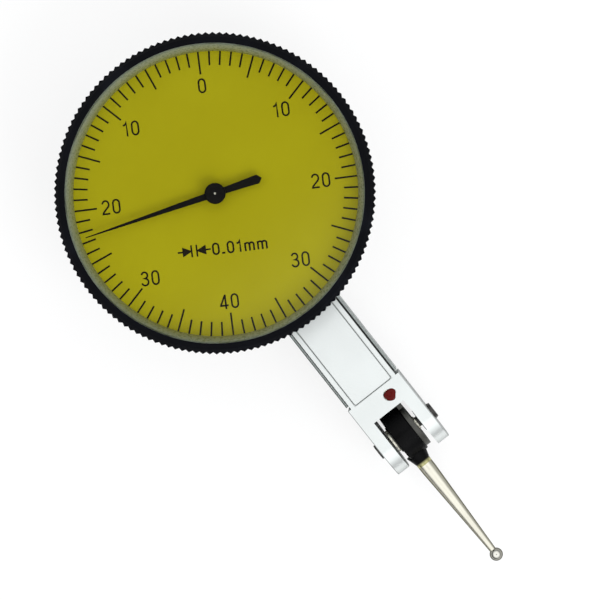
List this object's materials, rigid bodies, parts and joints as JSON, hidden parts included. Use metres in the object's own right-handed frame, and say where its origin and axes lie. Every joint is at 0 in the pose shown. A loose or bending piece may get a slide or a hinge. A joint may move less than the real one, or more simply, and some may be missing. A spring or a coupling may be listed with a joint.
{
  "type": "dial test indicator",
  "caption": "Lever-type dial test indicator: slim body with dovetail rails, pivoted stylus with a ball, round dial with a turning knurled bezel.",
  "frame": {"origin": "on the dial's axis, in the flat back face of the body", "axes": "+Z along the dial's axis, out of its front; -Y along the body towards the stylus; +X to the right seen from the front with the stylus down"},
  "size_m": [0.04, 0.0789, 0.0179],
  "materials": {
    "satin_chrome": "satin chrome plate",
    "black_case": "black anodised",
    "bright_steel": "polished",
    "black_steel": "black oxide, oiled",
    "grey_steel": "hardened, dark grey",
    "red_lacquer": "glossy lacquer",
    "brass": "turned",
    "spring_bronze": "spring temper",
    "ball_carbide": "ground",
    "black_paint": "matt black",
    "black_bezel": "black anodised, satin",
    "clear_acrylic": "clear, polished",
    "yellow_dial": "printed, satin",
    "grey_ring": "satin"
  },
  "bodies": {
    "root": {"body_casting": "satin_chrome", "front_cover_plate": "satin_chrome", "dial_case": "black_case", "case_screws": "bright_steel", "left_pivot_screw": "bright_steel", "right_pivot_screw": "bright_steel", "ear_side_washer": "black_steel", "stop_screw": "bright_steel", "lacquer_seal": "red_lacquer", "stop_pin": "bright_steel", "left_crown_bush": "brass", "right_crown_bush": "brass", "centre_bush": "brass", "centre_bridge": "brass", "bridge_screw": "bright_steel", "hairspring": "spring_bronze", "hairspring_stud": "brass", "bezel_spring_ring": "bright_steel"},
    "lever": {"sector_lever": "grey_steel", "sector_gear": "brass", "sector_rivets": "bright_steel", "clutch_shaft": "bright_steel", "clutch_spring_washer": "grey_steel"},
    "stylus": {"stylus_holder": "black_steel", "stylus_shank": "bright_steel", "stylus_ball": "ball_carbide"},
    "crown": {"crown_wheel": "brass", "crown_arbor": "bright_steel"},
    "pointer": {"centre_arbor": "bright_steel", "hairspring_collet": "brass", "pointer_needle": "black_paint", "pointer_hub": "black_paint"},
    "bezel": {"bezel": "black_bezel", "crystal": "clear_acrylic", "dial_plate": "yellow_dial", "dial_ring": "grey_ring"}
  },
  "joints": [
    {"name": "lever_pivot", "type": "hinge", "parent": "root", "child": "lever", "pos_m": [0, -0.0385, 0.0055], "axis": [1, 0, 0], "range_deg": [-1.5, 1.5], "stiffness_Nm_per_rad": 0.11},
    {"name": "stylus_clutch", "type": "hinge", "parent": "lever", "child": "stylus", "pos_m": [0, -0.0385, 0.0055], "axis": [1, 0, 0], "range_deg": [-110, 110]},
    {"name": "crown_spin", "type": "hinge", "parent": "root", "child": "crown", "pos_m": [0, 0, 0.0055], "axis": [1, 0, 0], "range_deg": [-57, 57]},
    {"name": "pointer_spin", "type": "hinge", "parent": "root", "child": "pointer", "pos_m": [0, 0, 0.0055], "axis": [0, 0, 1], "range_deg": [-231, 231], "deforming": ["hairspring"]},
    {"name": "bezel_turn", "type": "hinge", "parent": "root", "child": "bezel", "pos_m": [0, 0, 0.01445], "axis": [0, 0, 1], "continuous": true}
  ],
  "couplings": [
    {"joint": "crown_spin", "follows": "lever_pivot", "ratio": -37.5},
    {"joint": "pointer_spin", "follows": "lever_pivot", "ratio": -153.75}
  ]
}
